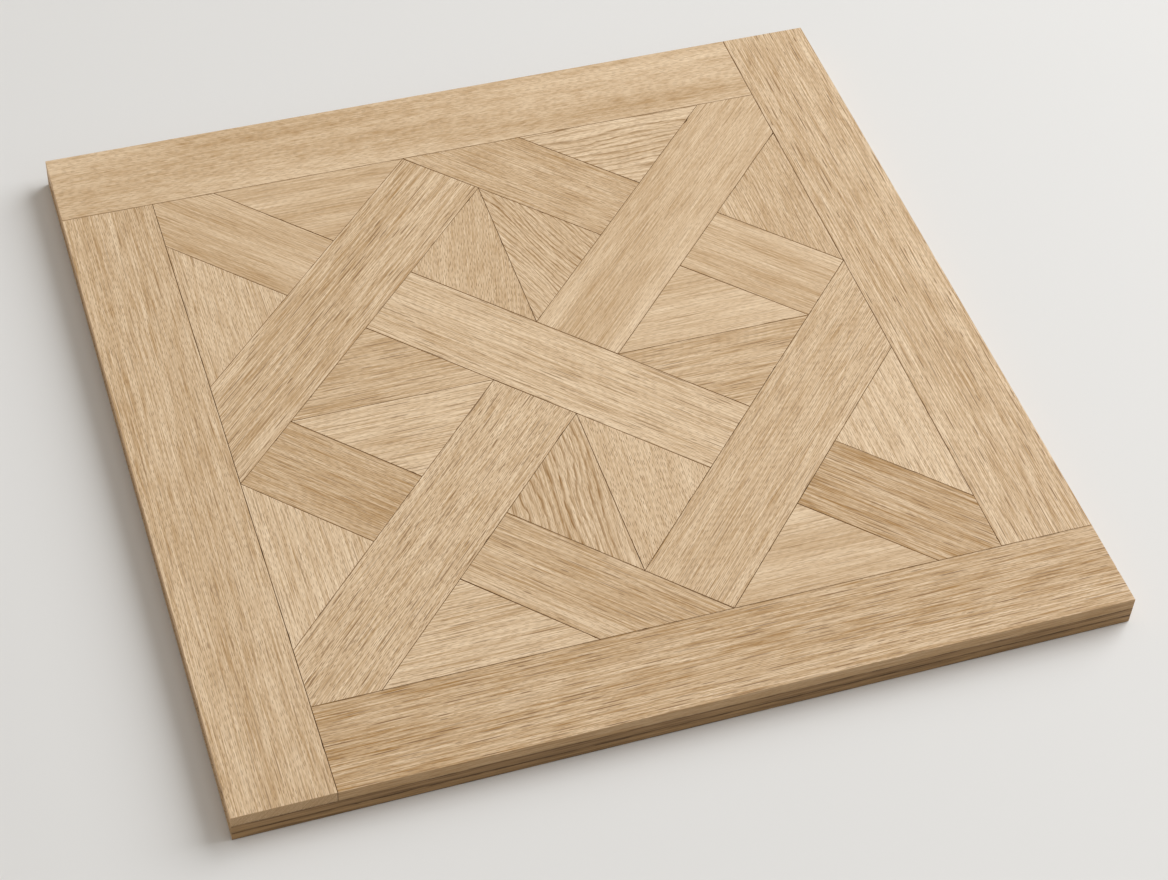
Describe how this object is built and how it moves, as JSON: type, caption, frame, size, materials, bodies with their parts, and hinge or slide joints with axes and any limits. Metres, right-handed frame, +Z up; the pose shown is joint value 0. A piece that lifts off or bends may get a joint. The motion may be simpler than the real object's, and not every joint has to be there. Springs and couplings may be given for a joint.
{
  "type": "parquet panel",
  "caption": "Flat square oak parquet panel: a woven lattice of diagonal strips with triangular infill in a butted border, on a layered base, laid edge to edge as flooring.",
  "frame": {"origin": "middle of the underside, on the floor that the panel lies on", "axes": "+Z up out of the face, +X along the front edge to the right, +Y towards the back edge"},
  "size_m": [0.6, 0.6, 0.023],
  "materials": {
    "oak_border": "matt oiled oak, plain sawn",
    "oak_strip": "matt oiled oak, plain sawn",
    "oak_infill": "matt oiled oak, plain sawn",
    "oak_core": "sawn oak",
    "oak_backing": "sawn oak"
  },
  "bodies": {
    "root": {"backing_layer": "oak_backing", "border_back": "oak_border", "border_front": "oak_border", "border_left": "oak_border", "border_right": "oak_border", "core_layer": "oak_core", "edge_back_left": "oak_infill", "edge_back_right": "oak_infill", "edge_front_left": "oak_infill", "edge_front_right": "oak_infill", "edge_left_back": "oak_infill", "edge_left_front": "oak_infill", "edge_right_back": "oak_infill", "edge_right_front": "oak_infill", "falling_strip_back": "oak_strip", "falling_strip_front": "oak_strip", "falling_strip_left_corner": "oak_strip", "falling_strip_middle": "oak_strip", "falling_strip_right_corner": "oak_strip", "infill_back_left": "oak_infill", "infill_back_right": "oak_infill", "infill_front_left": "oak_infill", "infill_front_right": "oak_infill", "infill_left_back": "oak_infill", "infill_left_front": "oak_infill", "infill_right_back": "oak_infill", "infill_right_front": "oak_infill", "rising_strip_far_corner": "oak_strip", "rising_strip_left": "oak_strip", "rising_strip_near_corner": "oak_strip", "rising_strip_right": "oak_strip", "short_strip_left": "oak_strip", "short_strip_right": "oak_strip"}
  },
  "joints": []
}
